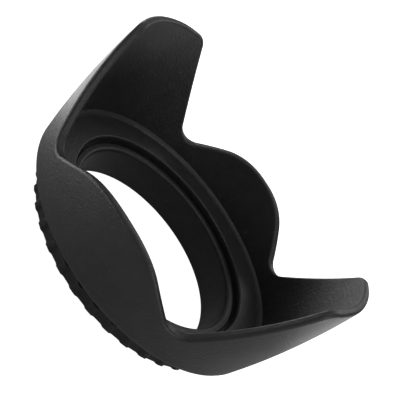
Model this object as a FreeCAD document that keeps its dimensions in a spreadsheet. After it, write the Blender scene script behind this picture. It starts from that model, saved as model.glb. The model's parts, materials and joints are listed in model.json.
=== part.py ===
import FreeCAD, Part
import Sketcher
import math
import os

# A screw-in petal lens hood, in millimetres. +Z is the optical axis, pointing from the lens to the
# subject. The origin is on that axis, in the rear face of the thread that screws into the lens.
# The two long petals point along +X and -X, the two short ones along +Y and -Y.

SIZES = {
    # mount ring: the tube with the lens thread
    "lens_thread_radius": 29.0,
    "tube_wall": 1.8,
    "lens_thread_length": 2.6,
    "thread_pitch": 0.75,
    "thread_depth": 0.46,
    "thread_root_flat": 0.12,
    "lock_thread_step": 0.9,
    "lock_thread_length": 4.9,
    "flange_step": 2.6,
    "flange_thickness": 0.7,
    "collar_step": 0.5,
    "lip_length": 0.75,
    "lip_chamfer": 0.3,
    "lip_round": 1.0,
    "rear_chamfer": 0.3,
    "keyway_width": 3.0,
    # lock ring: the scalloped nut behind the shade
    "grip_wall": 4.6,
    "grip_height": 3.0,
    "rib_height": 0.85,
    "rib_radius": 1.6,
    "rib_blend": 1.2,
    "rib_end_radius": 0.6,
    "rib_count": 38,
    "first_rib_angle": 1.7,
    "lens_gap": 0.15,
    "clamp_travel": 0.75,
    # washers and the retaining ring
    "washer_thickness": 0.8,
    "washer_width": 3.0,
    "slip_thickness": 0.3,
    "retainer_thickness": 1.4,
    "retainer_seat": 2.1,
    "retainer_overlap": 0.7,
    "retainer_step": 0.75,
    "spanner_slot": 1.6,
    # petal shade
    "web_gap": 0.7,
    "web_thickness": 2.35,
    "web_edge_radius": 0.5,
    "web_rise": 0.45,
    "seat_wall": 4.0,
    "flare_spread": 3.2,
    "flare_radius": 180.0,
    "bead_width": 1.1,
    "bead_height": 1.0,
    "bead_radius": 1.8,
    "base_wall": 2.5,
    "tip_wall": 1.95,
    "rear_edge_radius": 2.7,
    "rim_round": 0.7,
    # rim of the petals, seen square on to a valley between a long and a short petal: heights are
    # above the foot of the flare, and runs are sideways from the valley
    "tip_rise": 32.3,
    "tip_crown": 0.8,
    "tip_crown_radius": 70.0,
    "tip_crown_run": 28.0,
    "tip_run": 19.9,
    "tip_corner_radius": 5.0,
    "valley_direction": 52.4,
    "valley_rise": 2.6,
    "valley_radius": 5.6,
    "arch_rise": 14.8,
    "arch_run": 17.8,
    "arch_radius": 22.0,
    # clearances
    "face_clearance": 0.05,
    "pocket_clearance": 0.3,
    "key_clearance": 0.1,
    "thread_clearance": 0.05,
}

doc = FreeCAD.newDocument("PetalHood")
sheet = doc.addObject("Spreadsheet::Sheet", "Sizes")
for row, (name, number) in enumerate(SIZES.items(), start=1):
    sheet.set(f"A{row}", name)
    sheet.set(f"B{row}", str(number))
    sheet.setAlias(f"B{row}", name)
doc.recompute()


class Length:
    """A number together with the sheet formula that it comes from."""

    def __init__(self, number, formula):
        self.number = number
        self.formula = formula

    def __add__(self, other):
        other = as_length(other)
        return Length(self.number + other.number, f"({self.formula} + {other.formula})")

    def __sub__(self, other):
        other = as_length(other)
        return Length(self.number - other.number, f"({self.formula} - {other.formula})")

    def __mul__(self, factor):
        return Length(self.number * factor, f"({self.formula} * {factor})")

    def __truediv__(self, factor):
        return Length(self.number / factor, f"({self.formula} / {factor})")


def as_length(value):
    return value if isinstance(value, Length) else Length(float(value), str(float(value)))


def size(name):
    return Length(float(sheet.get(name)), f"Sizes.{name}")


def number(name):
    return size(name).number


ZERO = as_length(0)
KEYS = as_length(2)
SLOTS = as_length(2)
OPPOSITE = as_length(2)

# Heights up the axis, from the rear face of the lens thread.
shoulder_z = size("lens_thread_length")
grip_rear_z = shoulder_z + size("lens_gap")
grip_front_z = grip_rear_z + size("grip_height")
washer_rear_z = grip_front_z + size("face_clearance")
washer_front_z = washer_rear_z + size("washer_thickness")
retainer_rear_z = washer_front_z + size("clamp_travel") + size("face_clearance")
retainer_front_z = retainer_rear_z + size("retainer_thickness")
shade_rear_z = retainer_rear_z + size("retainer_step")
flange_rear_z = retainer_front_z + size("face_clearance")
flange_front_z = flange_rear_z + size("flange_thickness")
lip_front_z = flange_front_z + size("lip_length")
slip_front_z = flange_front_z + size("slip_thickness")
web_rear_z = slip_front_z + size("face_clearance")
web_front_z = web_rear_z + size("web_thickness")
bead_foot_z = web_front_z + size("web_rise")
flare_base_z = bead_foot_z + size("bead_height")
valley_z = flare_base_z + size("valley_rise")
arch_z = flare_base_z + size("arch_rise")
tip_z = flare_base_z + size("tip_rise")
flare_top_z = tip_z + 2
lock_thread_end_z = shoulder_z + size("lock_thread_length")

# Radii, worked outwards from the lens thread.
bore_radius = size("lens_thread_radius") - size("tube_wall")
lens_root_radius = size("lens_thread_radius") - size("thread_depth")
lock_thread_radius = size("lens_thread_radius") + size("lock_thread_step")
lock_root_radius = lock_thread_radius - size("thread_depth")
grip_radius = lock_thread_radius + size("grip_wall")
rib_peak_radius = grip_radius + size("rib_height")
rib_centre_radius = rib_peak_radius - size("rib_radius")
washer_bore_radius = lock_thread_radius + size("key_clearance")
washer_radius = washer_bore_radius + size("washer_width")
collar_radius = size("lens_thread_radius") + size("collar_step")
slip_bore_radius = collar_radius + size("pocket_clearance")
flange_radius = size("lens_thread_radius") + size("flange_step")
flange_pocket_radius = flange_radius + size("pocket_clearance")
retainer_bore_radius = flange_radius - size("retainer_overlap")
retainer_radius = flange_pocket_radius + size("retainer_seat")
web_bore_radius = collar_radius + size("web_gap")
flare_base_radius = retainer_radius + size("seat_wall")

# The lock thread's grooves are centred on this height at +X, and on every pitch above it.
lock_groove_z = shoulder_z - size("thread_pitch") * 0.8
FLANK_RUN = math.tan(math.radians(30))  # how far a thread's flank runs along the axis for its depth
OVERSHOOT = 0.03  # how far a cutting outline stands outside the metal that it cuts
REAR_TURN = math.radians(76.5)  # how far the shade's rear edge turns before it meets the flare


def new_body(name):
    return doc.addObject("PartDesign::Body", name)


def origin_part(body, role):
    for feature in body.Origin.OriginFeatures:
        if feature.Role == role:
            return feature
    raise LookupError(role)


def new_sketch(body, name, plane):
    sketch = body.newObject("Sketcher::SketchObject", name)
    sketch.AttachmentSupport = [(origin_part(body, plane), "")]
    sketch.MapMode = "FlatFace"
    return sketch


def bind(sketch, kind, where, length):
    """Add a constraint whose value follows the sheet."""
    index = sketch.addConstraint(Sketcher.Constraint(kind, *where, length.number))
    sketch.setExpression(f"Constraints[{index}]", length.formula)


def place_point(sketch, geometry, end, across, up):
    """Tie one end of a line or arc to its distances from the sketch's origin."""
    for kind, axis, length in (("DistanceX", -2, across), ("DistanceY", -1, up)):
        if length is ZERO:
            sketch.addConstraint(Sketcher.Constraint("PointOnObject", geometry, end, axis))
        else:
            bind(sketch, kind, (-1, 1, geometry, end), length)


def arc_between(start, end, radius):
    """The short arc from start to end: turning left for a positive radius, right for a negative."""
    chord = end - start
    reach = math.sqrt(radius ** 2 - (chord.Length / 2) ** 2)
    left = FreeCAD.Vector(-chord.y, chord.x, 0).normalize()
    centre = (start + end) / 2 + left * math.copysign(reach, radius)
    first, last = (start, end) if radius > 0 else (end, start)
    first_angle = math.atan2(first.y - centre.y, first.x - centre.x)
    last_angle = math.atan2(last.y - centre.y, last.x - centre.x)
    circle = Part.Circle(centre, FreeCAD.Vector(0, 0, 1), abs(radius))
    return Part.ArcOfCircle(circle, first_angle, last_angle)


def closed_outline(sketch, corners):
    """A closed outline through corners (across, up). A third item in a corner is the radius of the
    arc that leads to the next corner, negative where the arc turns right."""
    ends = []
    for index, corner in enumerate(corners):
        following = corners[(index + 1) % len(corners)]
        start = FreeCAD.Vector(corner[0].number, corner[1].number, 0)
        end = FreeCAD.Vector(following[0].number, following[1].number, 0)
        if len(corner) == 3:
            radius = corner[2].number
            geometry = sketch.addGeometry(arc_between(start, end, radius), False)
            ends.append((geometry, 1, 2) if radius > 0 else (geometry, 2, 1))
            size_of_arc = corner[2] if radius > 0 else corner[2] * -1
            bind(sketch, "Radius", (geometry,), size_of_arc)
        else:
            geometry = sketch.addGeometry(Part.LineSegment(start, end), False)
            ends.append((geometry, 1, 2))
    for index, (geometry, start, end) in enumerate(ends):
        following = ends[(index + 1) % len(ends)]
        sketch.addConstraint(
            Sketcher.Constraint("Coincident", geometry, end, following[0], following[1])
        )
        place_point(sketch, geometry, start, corners[index][0], corners[index][1])


def revolve(body, name, corners, kind="PartDesign::Revolution"):
    """Turn an outline of (radius, height) corners about the axis, as material or as a cut."""
    sketch = new_sketch(body, name + "_outline", "XZ_Plane")
    closed_outline(sketch, corners)
    feature = body.newObject(kind, name)
    feature.Profile = sketch
    feature.ReferenceAxis = (sketch, ["V_Axis"])
    feature.Angle = 360
    sketch.Visibility = False
    return feature


def round_pattern(body, name, feature, count):
    """Repeat a feature evenly round the axis."""
    pattern = body.newObject("PartDesign::PolarPattern", name)
    pattern.Originals = [feature]
    pattern.Axis = (origin_part(body, "Z_Axis"), [""])
    pattern.Angle = 360
    pattern.Occurrences = int(count.number)
    pattern.setExpression("Occurrences", count.formula)
    body.Tip = pattern
    return pattern


def box_sketch(body, name, half_width, inner, outer, height):
    """A rectangle across the +X axis, from radius inner to radius outer, at a height on the axis."""
    sketch = new_sketch(body, name, "XY_Plane")
    sketch.AttachmentOffset = FreeCAD.Placement(
        FreeCAD.Vector(0, 0, height.number), FreeCAD.Rotation()
    )
    sketch.setExpression("AttachmentOffset.Base.z", height.formula)
    low = half_width * -1
    closed_outline(sketch, [(inner, low), (outer, low), (outer, half_width), (inner, half_width)])
    return sketch


def pad_up(body, name, sketch, length):
    """Raise a sketch's outline upwards through a length."""
    pad = body.newObject("PartDesign::Pad", name)
    pad.Profile = sketch
    pad.Length = length.number
    pad.setExpression("Length", length.formula)
    sketch.Visibility = False
    return pad


def cut_up(body, name, sketch, length):
    """Cut a sketch's outline upwards through a length."""
    pocket = body.newObject("PartDesign::Pocket", name)
    pocket.Profile = sketch
    pocket.Length = length.number
    pocket.setExpression("Length", length.formula)
    pocket.Reversed = True
    sketch.Visibility = False
    return pocket


def cut_thread(body, name, mouth_radius, root_radius, root_flat, first_z, rise):
    """Cut a right-hand helical groove with 60 degree flanks, opening from its root to its mouth."""
    sketch = new_sketch(body, name + "_outline", "XZ_Plane")
    half_flat = root_flat / 2
    depth = mouth_radius - root_radius
    if depth.number < 0:
        depth = root_radius - mouth_radius
    half_mouth = half_flat + depth * FLANK_RUN
    closed_outline(
        sketch,
        [
            (mouth_radius, first_z - half_mouth),
            (mouth_radius, first_z + half_mouth),
            (root_radius, first_z + half_flat),
            (root_radius, first_z - half_flat),
        ],
    )
    helix = body.newObject("PartDesign::SubtractiveHelix", name)
    helix.Profile = sketch
    helix.ReferenceAxis = (sketch, ["V_Axis"])
    helix.Mode = 0
    helix.Pitch = size("thread_pitch").number
    helix.setExpression("Pitch", size("thread_pitch").formula)
    helix.Height = rise.number
    helix.setExpression("Height", rise.formula)
    sketch.Visibility = False
    return helix


def make_mount_ring():
    """The threaded tube: it screws into the lens, and the shade turns on its flange."""
    body = new_body("mount_ring")
    tube = size("lens_thread_radius")
    chamfer = size("rear_chamfer")
    edge = size("lip_chamfer")
    inner = size("lip_round")
    revolve(
        body,
        "tube",
        [
            (bore_radius, ZERO),
            (tube - chamfer, ZERO),
            (tube, chamfer),
            (tube, shoulder_z),
            (lock_thread_radius, shoulder_z),
            (lock_thread_radius, lock_thread_end_z),
            (tube, lock_thread_end_z),
            (tube, flange_rear_z),
            (flange_radius, flange_rear_z),
            (flange_radius, flange_front_z),
            (collar_radius, flange_front_z),
            (collar_radius, lip_front_z - edge),
            (collar_radius - edge, lip_front_z),
            (bore_radius + inner, lip_front_z, inner),
            (bore_radius, lip_front_z - inner),
        ],
    )
    pitch = size("thread_pitch")
    lens_start = pitch * -1.2
    cut_thread(
        body,
        "lens_thread",
        tube + OVERSHOOT,
        lens_root_radius,
        size("thread_root_flat"),
        lens_start,
        shoulder_z - pitch / 2 - lens_start,
    )
    cut_thread(
        body,
        "lock_thread",
        lock_thread_radius + OVERSHOOT,
        lock_root_radius,
        size("thread_root_flat"),
        lock_groove_z,
        lock_thread_end_z + pitch - lock_groove_z,
    )
    keyway_rear_z = washer_rear_z - size("key_clearance")
    keyway = box_sketch(
        body, "keyway_outline", size("keyway_width") / 2, tube, lock_thread_radius + 1, keyway_rear_z
    )
    cut = cut_up(body, "keyway", keyway, lock_thread_end_z - keyway_rear_z)
    round_pattern(body, "keyways", cut, KEYS)
    return body


def make_lock_ring():
    """The scalloped nut on the lock thread: turned forwards, it clamps the shade."""
    body = new_body("lock_ring")
    bore = lock_root_radius + size("thread_clearance")
    revolve(
        body,
        "grip",
        [
            (bore, grip_rear_z),
            (grip_radius, grip_rear_z),
            (grip_radius, grip_front_z),
            (bore, grip_front_z),
        ],
    )
    outline = new_sketch(body, "rib_outline", "XY_Plane")
    outline.AttachmentOffset = FreeCAD.Placement(
        FreeCAD.Vector(0, 0, grip_rear_z.number),
        FreeCAD.Rotation(FreeCAD.Vector(0, 0, 1), number("first_rib_angle")),
    )
    outline.setExpression("AttachmentOffset.Base.z", grip_rear_z.formula)
    outline.setExpression("AttachmentOffset.Rotation.Angle", "Sizes.first_rib_angle")
    centre = FreeCAD.Vector(rib_centre_radius.number, 0, 0)
    circle = Part.Circle(centre, FreeCAD.Vector(0, 0, 1), number("rib_radius"))
    geometry = outline.addGeometry(circle, False)
    place_point(outline, geometry, 3, rib_centre_radius, ZERO)
    bind(outline, "Radius", (geometry,), size("rib_radius"))
    rib = pad_up(body, "rib", outline, size("grip_height"))
    ribs = round_pattern(body, "ribs", rib, size("rib_count"))
    doc.recompute()
    check(ribs)
    blend = body.newObject("PartDesign::Fillet", "rib_blends")
    blend.Base = (ribs, rib_feet(ribs.Shape))
    blend.Radius = number("rib_blend")
    blend.setExpression("Radius", "Sizes.rib_blend")
    peak = rib_peak_radius
    end = size("rib_end_radius")
    revolve(
        body,
        "rear_ends",
        [
            (peak - end, grip_rear_z, end),
            (peak, grip_rear_z + end),
            (peak + end, grip_rear_z + end),
            (peak + end, grip_rear_z),
        ],
        "PartDesign::Groove",
    )
    revolve(
        body,
        "front_ends",
        [
            (peak, grip_front_z - end, end),
            (peak - end, grip_front_z),
            (peak + end, grip_front_z),
            (peak + end, grip_front_z - end),
        ],
        "PartDesign::Groove",
    )
    ridge_z = lock_groove_z - size("thread_pitch") * 1.5
    ridge_flat = (
        size("thread_pitch")
        - size("thread_root_flat")
        - size("thread_depth") * (2 * FLANK_RUN)
        + size("thread_clearance")
    )
    cut_thread(
        body,
        "thread",
        bore - OVERSHOOT / 2,
        lock_thread_radius + size("thread_clearance"),
        ridge_flat,
        ridge_z,
        grip_front_z + size("thread_pitch") - ridge_z,
    )
    return body


def rib_feet(shape):
    """Names of the upright edges where the ribs rise from the grip's cylinder."""
    found = []
    for index, edge in enumerate(shape.Edges, start=1):
        middle = edge.valueAt((edge.FirstParameter + edge.LastParameter) / 2)
        away = math.hypot(middle.x, middle.y)
        upright = abs(edge.BoundBox.ZLength - number("grip_height")) < 0.001
        joined = len(shape.ancestorsOfType(edge, Part.Face)) == 2
        if upright and joined and abs(away - grip_radius.number) < 0.001:
            found.append(f"Edge{index}")
    return found


def make_pressure_washer():
    """The keyed washer between the lock ring and the shade: it slides but doesn't turn."""
    body = new_body("pressure_washer")
    revolve(
        body,
        "disc",
        [
            (washer_bore_radius, washer_rear_z),
            (washer_radius, washer_rear_z),
            (washer_radius, washer_front_z),
            (washer_bore_radius, washer_front_z),
        ],
    )
    tab = box_sketch(
        body,
        "tab_outline",
        size("keyway_width") / 2 - size("key_clearance"),
        size("lens_thread_radius") + size("key_clearance"),
        washer_bore_radius + 0.5,
        washer_rear_z,
    )
    round_pattern(body, "tabs", pad_up(body, "tab", tab, size("washer_thickness")), KEYS)
    return body


def make_friction_washer():
    """The thin plastic washer between the mount ring's flange and the shade's web."""
    body = new_body("friction_washer")
    revolve(
        body,
        "disc",
        [
            (slip_bore_radius, flange_front_z),
            (flange_radius, flange_front_z),
            (flange_radius, slip_front_z),
            (slip_bore_radius, slip_front_z),
        ],
    )
    return body


def make_retaining_ring():
    """The ring pressed into the shade's rear: it holds the mount ring's flange in its pocket."""
    body = new_body("retaining_ring")
    revolve(
        body,
        "ring",
        [
            (retainer_bore_radius, retainer_rear_z),
            (retainer_radius, retainer_rear_z),
            (retainer_radius, retainer_front_z),
            (retainer_bore_radius, retainer_front_z),
        ],
    )
    slot = box_sketch(
        body,
        "slot_outline",
        size("spanner_slot") / 2,
        retainer_bore_radius - 0.5,
        retainer_bore_radius + size("spanner_slot") * 0.7,
        retainer_rear_z,
    )
    cut = cut_up(body, "slot", slot, size("retainer_thickness") / 2)
    round_pattern(body, "slots", cut, SLOTS)
    return body


def rounded(corners):
    """Corners (across, up, radius) with each radius worked into an arc between its two runs."""
    outline = []
    count = len(corners)
    for index, corner in enumerate(corners):
        if len(corner) == 2:
            outline.append(corner)
            continue
        across, up, radius = corner
        here = FreeCAD.Vector(across.number, up.number, 0)
        before = FreeCAD.Vector(corners[index - 1][0].number, corners[index - 1][1].number, 0)
        after = corners[(index + 1) % count]
        after = FreeCAD.Vector(after[0].number, after[1].number, 0)
        arriving = (here - before).normalize()
        leaving = (after - here).normalize()
        turn = arriving.getAngle(leaving)
        turns_left = arriving.cross(leaving).z > 0
        reach = radius * math.tan(turn / 2)
        outline.append(
            (
                across - reach * arriving.x,
                up - reach * arriving.y,
                radius if turns_left else radius * -1,
            )
        )
        outline.append((across + reach * leaving.x, up + reach * leaving.y))
    return outline


def cut_valley(body, name, direction, side):
    """Cut a valley of the rim outwards along its direction, with its long petal to one side (+1 or
    -1), and the same valley on the opposite side of the hood. The outline runs past the middles of
    both petals, where the next valley's outline meets it level."""
    sketch = new_sketch(body, name + "_outline", "XZ_Plane")
    upright = FreeCAD.Vector(0, 1, 0)
    turned = direction - 90
    sketch.AttachmentOffset = FreeCAD.Placement(
        FreeCAD.Vector(0, 0, 0), FreeCAD.Rotation(upright, turned.number)
    )
    sketch.setExpression("AttachmentOffset.Rotation.Angle", turned.formula)
    tip = tip_z
    arch = arch_z
    past_flare = flare_base_radius * 2
    past_tip = flare_base_radius
    past_arch = flare_base_radius * 0.72
    top = flare_top_z + 1
    corners = [
        (past_tip * side, top),
        (past_tip * side, tip),
        (size("tip_crown_run") * side, tip, size("tip_crown_radius")),
        (size("tip_run") * side, tip - size("tip_crown"), size("tip_corner_radius")),
        (ZERO, valley_z, size("valley_radius")),
        (size("arch_run") * -side, arch, size("arch_radius")),
        (past_arch * -side, arch),
        (past_arch * -side, top),
    ]
    closed_outline(sketch, rounded(corners))
    pocket = body.newObject("PartDesign::Pocket", name)
    pocket.Profile = sketch
    pocket.Length = past_flare.number
    pocket.setExpression("Length", past_flare.formula)
    sketch.Visibility = False
    return round_pattern(body, name + "_pair", pocket, OPPOSITE)


def rim_edges(shape):
    """Names of the edges where the flare's two curved walls meet the cut rim."""
    found = []
    for index, edge in enumerate(shape.Edges, start=1):
        faces = shape.ancestorsOfType(edge, Part.Face)
        walls = [face for face in faces if face.Surface.TypeId == "Part::GeomSurfaceOfRevolution"]
        if len(walls) == 1 and edge.BoundBox.ZMin > valley_z.number:
            found.append(f"Edge{index}")
    return found


def make_petal_shade():
    """The moulded shade: a web that turns on the mount ring, and a flare cut into four petals."""
    body = new_body("petal_shade")
    edge = size("rear_edge_radius")
    bore_edge = size("web_edge_radius")
    outer_base_radius = flare_base_radius + size("base_wall") * 0.8
    top_radius = flare_base_radius + size("flare_spread")
    revolve(
        body,
        "section",
        [
            (web_bore_radius, web_rear_z),
            (flange_pocket_radius, web_rear_z),
            (flange_pocket_radius, retainer_front_z),
            (retainer_radius, retainer_front_z),
            (retainer_radius, shade_rear_z),
            (outer_base_radius - edge * math.sin(REAR_TURN), shade_rear_z, edge),
            (
                outer_base_radius,
                shade_rear_z + edge * (1 - math.cos(REAR_TURN)),
                size("flare_radius"),
            ),
            (top_radius + size("tip_wall"), flare_top_z),
            (top_radius, flare_top_z, size("flare_radius") * -1),
            (flare_base_radius, flare_base_z, size("bead_radius")),
            (flare_base_radius - size("bead_width"), bead_foot_z),
            (web_bore_radius + bore_edge, web_front_z, bore_edge),
            (web_bore_radius, web_front_z - bore_edge),
        ],
    )
    direction = size("valley_direction")
    cut_valley(body, "valley", direction, 1)
    rim = cut_valley(body, "valley_mirrored", direction * -1, -1)
    doc.recompute()
    check(rim)
    fillet = body.newObject("PartDesign::Fillet", "rim_rounding")
    fillet.Base = (rim, rim_edges(rim.Shape))
    fillet.Radius = number("rim_round")
    fillet.setExpression("Radius", "Sizes.rim_round")
    return body


def check(item):
    """Refuse a failed object, or a shape that isn't one sound solid."""
    if "Invalid" in item.State or "Error" in item.State:
        raise RuntimeError(f"{item.Label} failed: {item.State}")
    if item.Shape.isNull() or not item.Shape.isValid():
        raise RuntimeError(f"{item.Label} has no sound shape")
    if len(item.Shape.Solids) != 1:
        raise RuntimeError(f"{item.Label} has {len(item.Shape.Solids)} solids")


def check_document():
    for item in doc.Objects:
        if "Invalid" in item.State or "Error" in item.State:
            raise RuntimeError(f"{item.Label} failed: {item.State}")


pieces = [
    make_mount_ring(),
    make_lock_ring(),
    make_pressure_washer(),
    make_friction_washer(),
    make_retaining_ring(),
    make_petal_shade(),
]
doc.recompute()
check_document()
os.makedirs("parts", exist_ok=True)
for piece in pieces:
    piece.Placement = FreeCAD.Placement(FreeCAD.Vector(0, 0, 0), FreeCAD.Rotation())
    check(piece)
for piece in pieces:
    piece.Shape.exportStep(f"parts/{piece.Label}.step")
    print(f"{piece.Label}: {piece.Shape.Volume:.1f} mm3")
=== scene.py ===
import json
import math

import bpy
from mathutils import Matrix, Vector

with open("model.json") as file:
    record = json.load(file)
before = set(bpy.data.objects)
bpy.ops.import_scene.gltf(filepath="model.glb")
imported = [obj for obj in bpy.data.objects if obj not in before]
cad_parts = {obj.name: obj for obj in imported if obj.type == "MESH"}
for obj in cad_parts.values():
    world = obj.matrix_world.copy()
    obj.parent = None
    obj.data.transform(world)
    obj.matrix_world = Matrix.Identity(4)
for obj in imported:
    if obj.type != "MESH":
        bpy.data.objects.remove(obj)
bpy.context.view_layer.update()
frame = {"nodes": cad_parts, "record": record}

# Camera: it looks back at the hood from near a short petal, from well above the web, and is rolled
# so that the hood leans to the left. Lengths are in metres, the lens and sensor in millimetres.
AXIS_ANGLE = math.radians(65.95)
AZIMUTH = math.radians(9.0)
ROLL = math.radians(53.34)
FOCAL_LENGTH = 65.4
SENSOR_WIDTH = 36
DISTANCE = 0.1952
ASIDE = 0.0183
ABOVE = 0.0147

# Floor and sky: the camera sees both as clean white, and the hood is lit by them more dimly.
WHITE = (1.0, 1.0, 1.0, 1.0)
FLOOR_REACH = 4.0
FLOOR_DROP = 0.0002
PAPER_DARK = 0.78
PAPER_LIGHT = 0.82
PAPER_ROUGHNESS = (0.7, 0.8)
FIBRE_SCALE = 400.0
SKY_LIGHT = 0.24
SKY_SEEN = 1.0

# Plastic: texture scales are per metre, and shares run from 0 to 1.
NOISE_LOW = 0.3
NOISE_HIGH = 0.7
MOTTLE_SCALE = 260.0
HANDLING_SCALE = 55.0
SPECK_SCALE = 900.0
SPECK_START = 0.80
SPECK_FULL = 0.83
DUST_SHARE = 0.5
DUST_LEVEL = 0.2
EDGE_WIDTH = 0.0005
EDGE_FLAT = 0.995
EDGE_SHARP = 0.9
RUBBED_LIGHTER = 3.0
RUBBED_GLOSS = 0.08
GLOSS_DRIFT = 0.05
GRAIN_GLOSS = 0.03
COARSE_SHARE = 0.4
COARSE_HEIGHT = 1.4
LINE_STRENGTH = 0.4

# Soft square lights: name, place, the point it faces, width and power in watts.
LIGHTS = [
    ("low_panel_left", (-0.16, 0.10, 0.001), (-0.16, 0.10, 1.0), 0.2, 0.26),
    ("low_panel_near", (-0.16, -0.10, 0.001), (-0.16, -0.10, 1.0), 0.2, 0.42),
    ("low_panel_far", (0.16, 0.14, 0.001), (0.16, 0.14, 1.0), 0.2, 0.13),
    ("left_card", (-0.5, -0.05, 0.02), (0, 0, 0.02), 0.15, 0.46),
    ("near_card", (-0.10, -0.16, 0.004), (-0.02, -0.03, 0.008), 0.02, 0.03),
    ("left_softbox", (-0.45, 0.4, 0.12), (0, 0, 0.03), 0.25, 0.63),
    ("top_softbox", (0, 0, 0.6), (0, 0, 0), 0.5, 0.71),
    ("right_softbox", (0.5, -0.1, 0.3), (0, 0, 0.02), 0.3, 0.88),
    ("back_softbox", (0, 0.6, 0.3), (0, 0, 0.02), 0.3, 0.39),
]


def new_material(name):
    """A new node material, with its node tree and its shader."""
    material = bpy.data.materials.new(name)
    material.use_nodes = True
    tree = material.node_tree
    return material, tree, tree.nodes["Principled BSDF"]


def add_node(tree, kind, inputs=None, **settings):
    """Add a node, set its options, and set or link its inputs by name or number."""
    node = tree.nodes.new(kind)
    for name, value in settings.items():
        setattr(node, name, value)
    for name, value in (inputs or {}).items():
        if isinstance(value, bpy.types.NodeSocket):
            tree.links.new(value, node.inputs[name])
        else:
            node.inputs[name].default_value = value
    return node


def scaled(tree, value, low, high, to_low, to_high):
    """Stretch a value from one range to another, held inside it."""
    inputs = {
        "Value": value,
        "From Min": low,
        "From Max": high,
        "To Min": to_low,
        "To Max": to_high,
    }
    return add_node(tree, "ShaderNodeMapRange", inputs).outputs["Result"]


def spread(tree, value, to_low, to_high):
    """Stretch the middle range of a noise to two chosen ends."""
    return scaled(tree, value, NOISE_LOW, NOISE_HIGH, to_low, to_high)


def maths(tree, operation, *values):
    """One sum of two values, or one function of a single value."""
    inputs = dict(enumerate(values))
    return add_node(tree, "ShaderNodeMath", inputs, operation=operation).outputs["Value"]


def noise(tree, place, scale, detail, roughness=0.5):
    """Cloudy noise that stays with the piece."""
    inputs = {"Vector": place, "Scale": scale, "Detail": detail, "Roughness": roughness}
    return add_node(tree, "ShaderNodeTexNoise", inputs).outputs["Fac"]


def mixed(tree, share, first, second):
    """Blend two colours by a share."""
    node = add_node(tree, "ShaderNodeMix", data_type="RGBA")
    for socket, value in ((0, share), (6, first), (7, second)):
        if isinstance(value, bpy.types.NodeSocket):
            tree.links.new(value, node.inputs[socket])
        else:
            node.inputs[socket].default_value = value
    return node.outputs[2]


def grey(level):
    """A grey with a trace of blue."""
    return (level, level, level * 1.02, 1.0)


def object_place(tree):
    """The place on the piece, in the piece's own axes."""
    return add_node(tree, "ShaderNodeTexCoord").outputs["Object"]


def worn_edges(tree):
    """How much an outward edge is rubbed: 0 on flat faces, 1 on the sharpest edges."""
    rounded = add_node(tree, "ShaderNodeBevel", {"Radius": EDGE_WIDTH}, samples=6)
    true = add_node(tree, "ShaderNodeNewGeometry")
    normals = {0: rounded.outputs["Normal"], 1: true.outputs["Normal"]}
    dot = add_node(tree, "ShaderNodeVectorMath", normals, operation="DOT_PRODUCT")
    return scaled(tree, dot.outputs["Value"], EDGE_FLAT, EDGE_SHARP, 0.0, 1.0)


def moulded_plastic(name, dark, light, roughness, sheen, grain, depth, wear):
    """Matte black moulding: mottled colour, uneven gloss, a fine grain and rubbed edges."""
    material, tree, shader = new_material(name)
    place = object_place(tree)
    mottle = noise(tree, place, MOTTLE_SCALE, 5.0, 0.6)
    handling = noise(tree, place, HANDLING_SCALE, 3.0, 0.55)
    fine = noise(tree, place, grain, 3.0, 0.6)
    coarse = noise(tree, place, grain * COARSE_SHARE, 2.0, 0.5)
    specks = noise(tree, place, SPECK_SCALE, 1.0)

    patchy = scaled(tree, mottle, 0.35, 0.65, 0.2, 1.0)
    rubbed = maths(tree, "MULTIPLY", worn_edges(tree), patchy)
    rubbed = maths(tree, "MULTIPLY", rubbed, wear)

    colour = mixed(tree, spread(tree, mottle, 0.0, 1.0), grey(dark), grey(light))
    colour = mixed(tree, rubbed, colour, grey(light * RUBBED_LIGHTER))
    dust = scaled(tree, specks, SPECK_START, SPECK_FULL, 0.0, DUST_SHARE)
    colour = mixed(tree, dust, colour, grey(DUST_LEVEL))
    tree.links.new(colour, shader.inputs["Base Color"])

    uneven = spread(tree, handling, roughness - GLOSS_DRIFT, roughness + GLOSS_DRIFT)
    gloss = maths(tree, "ADD", uneven, spread(tree, fine, -GRAIN_GLOSS, GRAIN_GLOSS))
    gloss = maths(tree, "SUBTRACT", gloss, maths(tree, "MULTIPLY", rubbed, RUBBED_GLOSS))
    tree.links.new(gloss, shader.inputs["Roughness"])
    shader.inputs["Specular IOR Level"].default_value = sheen

    height = maths(tree, "ADD", fine, maths(tree, "MULTIPLY", coarse, COARSE_HEIGHT))
    relief = {"Height": height, "Strength": 1.0, "Distance": depth}
    bump = add_node(tree, "ShaderNodeBump", relief)
    tree.links.new(bump.outputs["Normal"], shader.inputs["Normal"])
    return material, tree, bump


def turned_lines(tree, bump, pitch, depth):
    """Add fine rings round the axis, as a mould cut on a lathe leaves them, under a bump."""
    parts = add_node(tree, "ShaderNodeSeparateXYZ", {"Vector": object_place(tree)}).outputs
    flat = add_node(tree, "ShaderNodeCombineXYZ", {"X": parts["X"], "Y": parts["Y"]}).outputs[0]
    away = add_node(tree, "ShaderNodeVectorMath", {0: flat}, operation="LENGTH").outputs["Value"]
    across = maths(tree, "ADD", away, parts["Z"])
    ripple = maths(tree, "SINE", maths(tree, "MULTIPLY", across, math.tau / pitch))
    relief = {"Height": ripple, "Strength": LINE_STRENGTH, "Distance": depth}
    lines = add_node(tree, "ShaderNodeBump", relief)
    tree.links.new(lines.outputs["Normal"], bump.inputs["Normal"])


def shade_plastic():
    """The shade: evenly matte, with a fine grain."""
    material, _, _ = moulded_plastic(
        "shade_plastic",
        dark=0.007,
        light=0.014,
        roughness=0.45,
        sheen=0.5,
        grain=3600.0,
        depth=0.00007,
        wear=0.6,
    )
    return material


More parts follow.
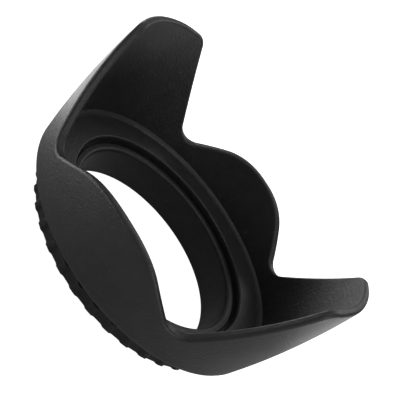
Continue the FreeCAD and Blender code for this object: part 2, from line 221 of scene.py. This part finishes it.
def tube_plastic():
    """The mount tube: finer grained, with turned lines."""
    material, tree, bump = moulded_plastic(
        "tube_plastic",
        dark=0.006,
        light=0.011,
        roughness=0.46,
        sheen=0.45,
        grain=4200.0,
        depth=0.00005,
        wear=0.8,
    )
    turned_lines(tree, bump, pitch=0.00022, depth=0.000004)
    return material


def ring_plastic():
    """The lock ring: its edges are the most rubbed."""
    material, _, _ = moulded_plastic(
        "ring_plastic",
        dark=0.006,
        light=0.012,
        roughness=0.48,
        sheen=0.45,
        grain=3800.0,
        depth=0.00006,
        wear=1.0,
    )
    return material


def washer_plastic():
    """The washers: dark and nearly smooth, with turned lines."""
    material, tree, bump = moulded_plastic(
        "washer_plastic",
        dark=0.004,
        light=0.006,
        roughness=0.42,
        sheen=0.3,
        grain=5200.0,
        depth=0.00001,
        wear=0.2,
    )
    turned_lines(tree, bump, pitch=0.0003, depth=0.000003)
    return material


def dress_pieces():
    """Give every CAD node the material of its slot."""
    makers = {
        "shade_plastic": shade_plastic,
        "tube_plastic": tube_plastic,
        "ring_plastic": ring_plastic,
        "washer_plastic": washer_plastic,
    }
    made = {slot: maker() for slot, maker in makers.items()}
    for subpart in frame["record"]["subparts"]:
        piece = frame["nodes"][subpart["node"]]
        for slot in piece.material_slots:
            slot.material = made[subpart["material_slot"]]


def floor_paper():
    """Pale paper that the camera sees as clean white, and that is clear from below."""
    material, tree, shader = new_material("floor_paper")
    fibres = noise(tree, object_place(tree), FIBRE_SCALE, 4.0)
    share = spread(tree, fibres, 0.0, 1.0)
    tone = mixed(tree, share, grey(PAPER_DARK), grey(PAPER_LIGHT))
    tree.links.new(tone, shader.inputs["Base Color"])
    tree.links.new(spread(tree, fibres, *PAPER_ROUGHNESS), shader.inputs["Roughness"])
    shader.inputs["Emission Color"].default_value = WHITE
    seen = add_node(tree, "ShaderNodeLightPath").outputs["Is Camera Ray"]
    tree.links.new(seen, shader.inputs["Emission Strength"])
    underside = add_node(tree, "ShaderNodeNewGeometry").outputs["Backfacing"]
    clear = add_node(tree, "ShaderNodeBsdfTransparent").outputs["BSDF"]
    sides = {0: underside, 1: shader.outputs["BSDF"], 2: clear}
    both = add_node(tree, "ShaderNodeMixShader", sides).outputs["Shader"]
    tree.links.new(both, tree.nodes["Material Output"].inputs["Surface"])
    return material


def add_floor():
    """A plain pale floor just under the hood."""
    mesh = bpy.data.meshes.new("floor")
    reach = FLOOR_REACH
    corners = [(-reach, -reach, 0), (reach, -reach, 0), (reach, reach, 0), (-reach, reach, 0)]
    mesh.from_pydata(corners, [], [(0, 1, 2, 3)])
    floor = bpy.data.objects.new("floor", mesh)
    bpy.context.collection.objects.link(floor)
    floor.location.z = -FLOOR_DROP
    mesh.materials.append(floor_paper())


def add_camera():
    """The camera, set by its angles round the hood's axis and its distance."""
    back = Vector(
        (
            math.sin(AXIS_ANGLE) * math.sin(AZIMUTH),
            -math.sin(AXIS_ANGLE) * math.cos(AZIMUTH),
            math.cos(AXIS_ANGLE),
        )
    )
    level = Vector((0, 0, 1)).cross(back).normalized()
    upright = back.cross(level)
    right = level * math.cos(ROLL) + upright * math.sin(ROLL)
    up = upright * math.cos(ROLL) - level * math.sin(ROLL)
    data = bpy.data.cameras.new("camera")
    data.lens = FOCAL_LENGTH
    data.sensor_width = SENSOR_WIDTH
    camera = bpy.data.objects.new("camera", data)
    bpy.context.collection.objects.link(camera)
    place = back * DISTANCE + right * ASIDE + up * ABOVE
    turn = Matrix((right, up, back)).transposed().to_4x4()
    camera.matrix_world = Matrix.Translation(place) @ turn
    bpy.context.scene.camera = camera


def add_light(name, place, aim, size, power):
    """A square soft light that the camera doesn't see."""
    data = bpy.data.lights.new(name, "AREA")
    data.size = size
    data.energy = power
    light = bpy.data.objects.new(name, data)
    bpy.context.collection.objects.link(light)
    light.visible_camera = False
    light.location = place
    light.rotation_euler = (Vector(aim) - Vector(place)).to_track_quat("-Z", "Y").to_euler()


def add_lights():
    """Every light of the list."""
    for light in LIGHTS:
        add_light(*light)


def add_world():
    """A dim even sky that the camera sees as clean white."""
    world = bpy.data.worlds.new("world")
    bpy.context.scene.world = world
    world.use_nodes = True
    tree = world.node_tree
    sky = tree.nodes["Background"]
    sky.inputs["Color"].default_value = WHITE
    seen = add_node(tree, "ShaderNodeLightPath").outputs["Is Camera Ray"]
    tree.links.new(scaled(tree, seen, 0.0, 1.0, SKY_LIGHT, SKY_SEEN), sky.inputs["Strength"])


bpy.context.scene.view_settings.view_transform = "Standard"
dress_pieces()
add_floor()
add_camera()
add_world()
add_lights()
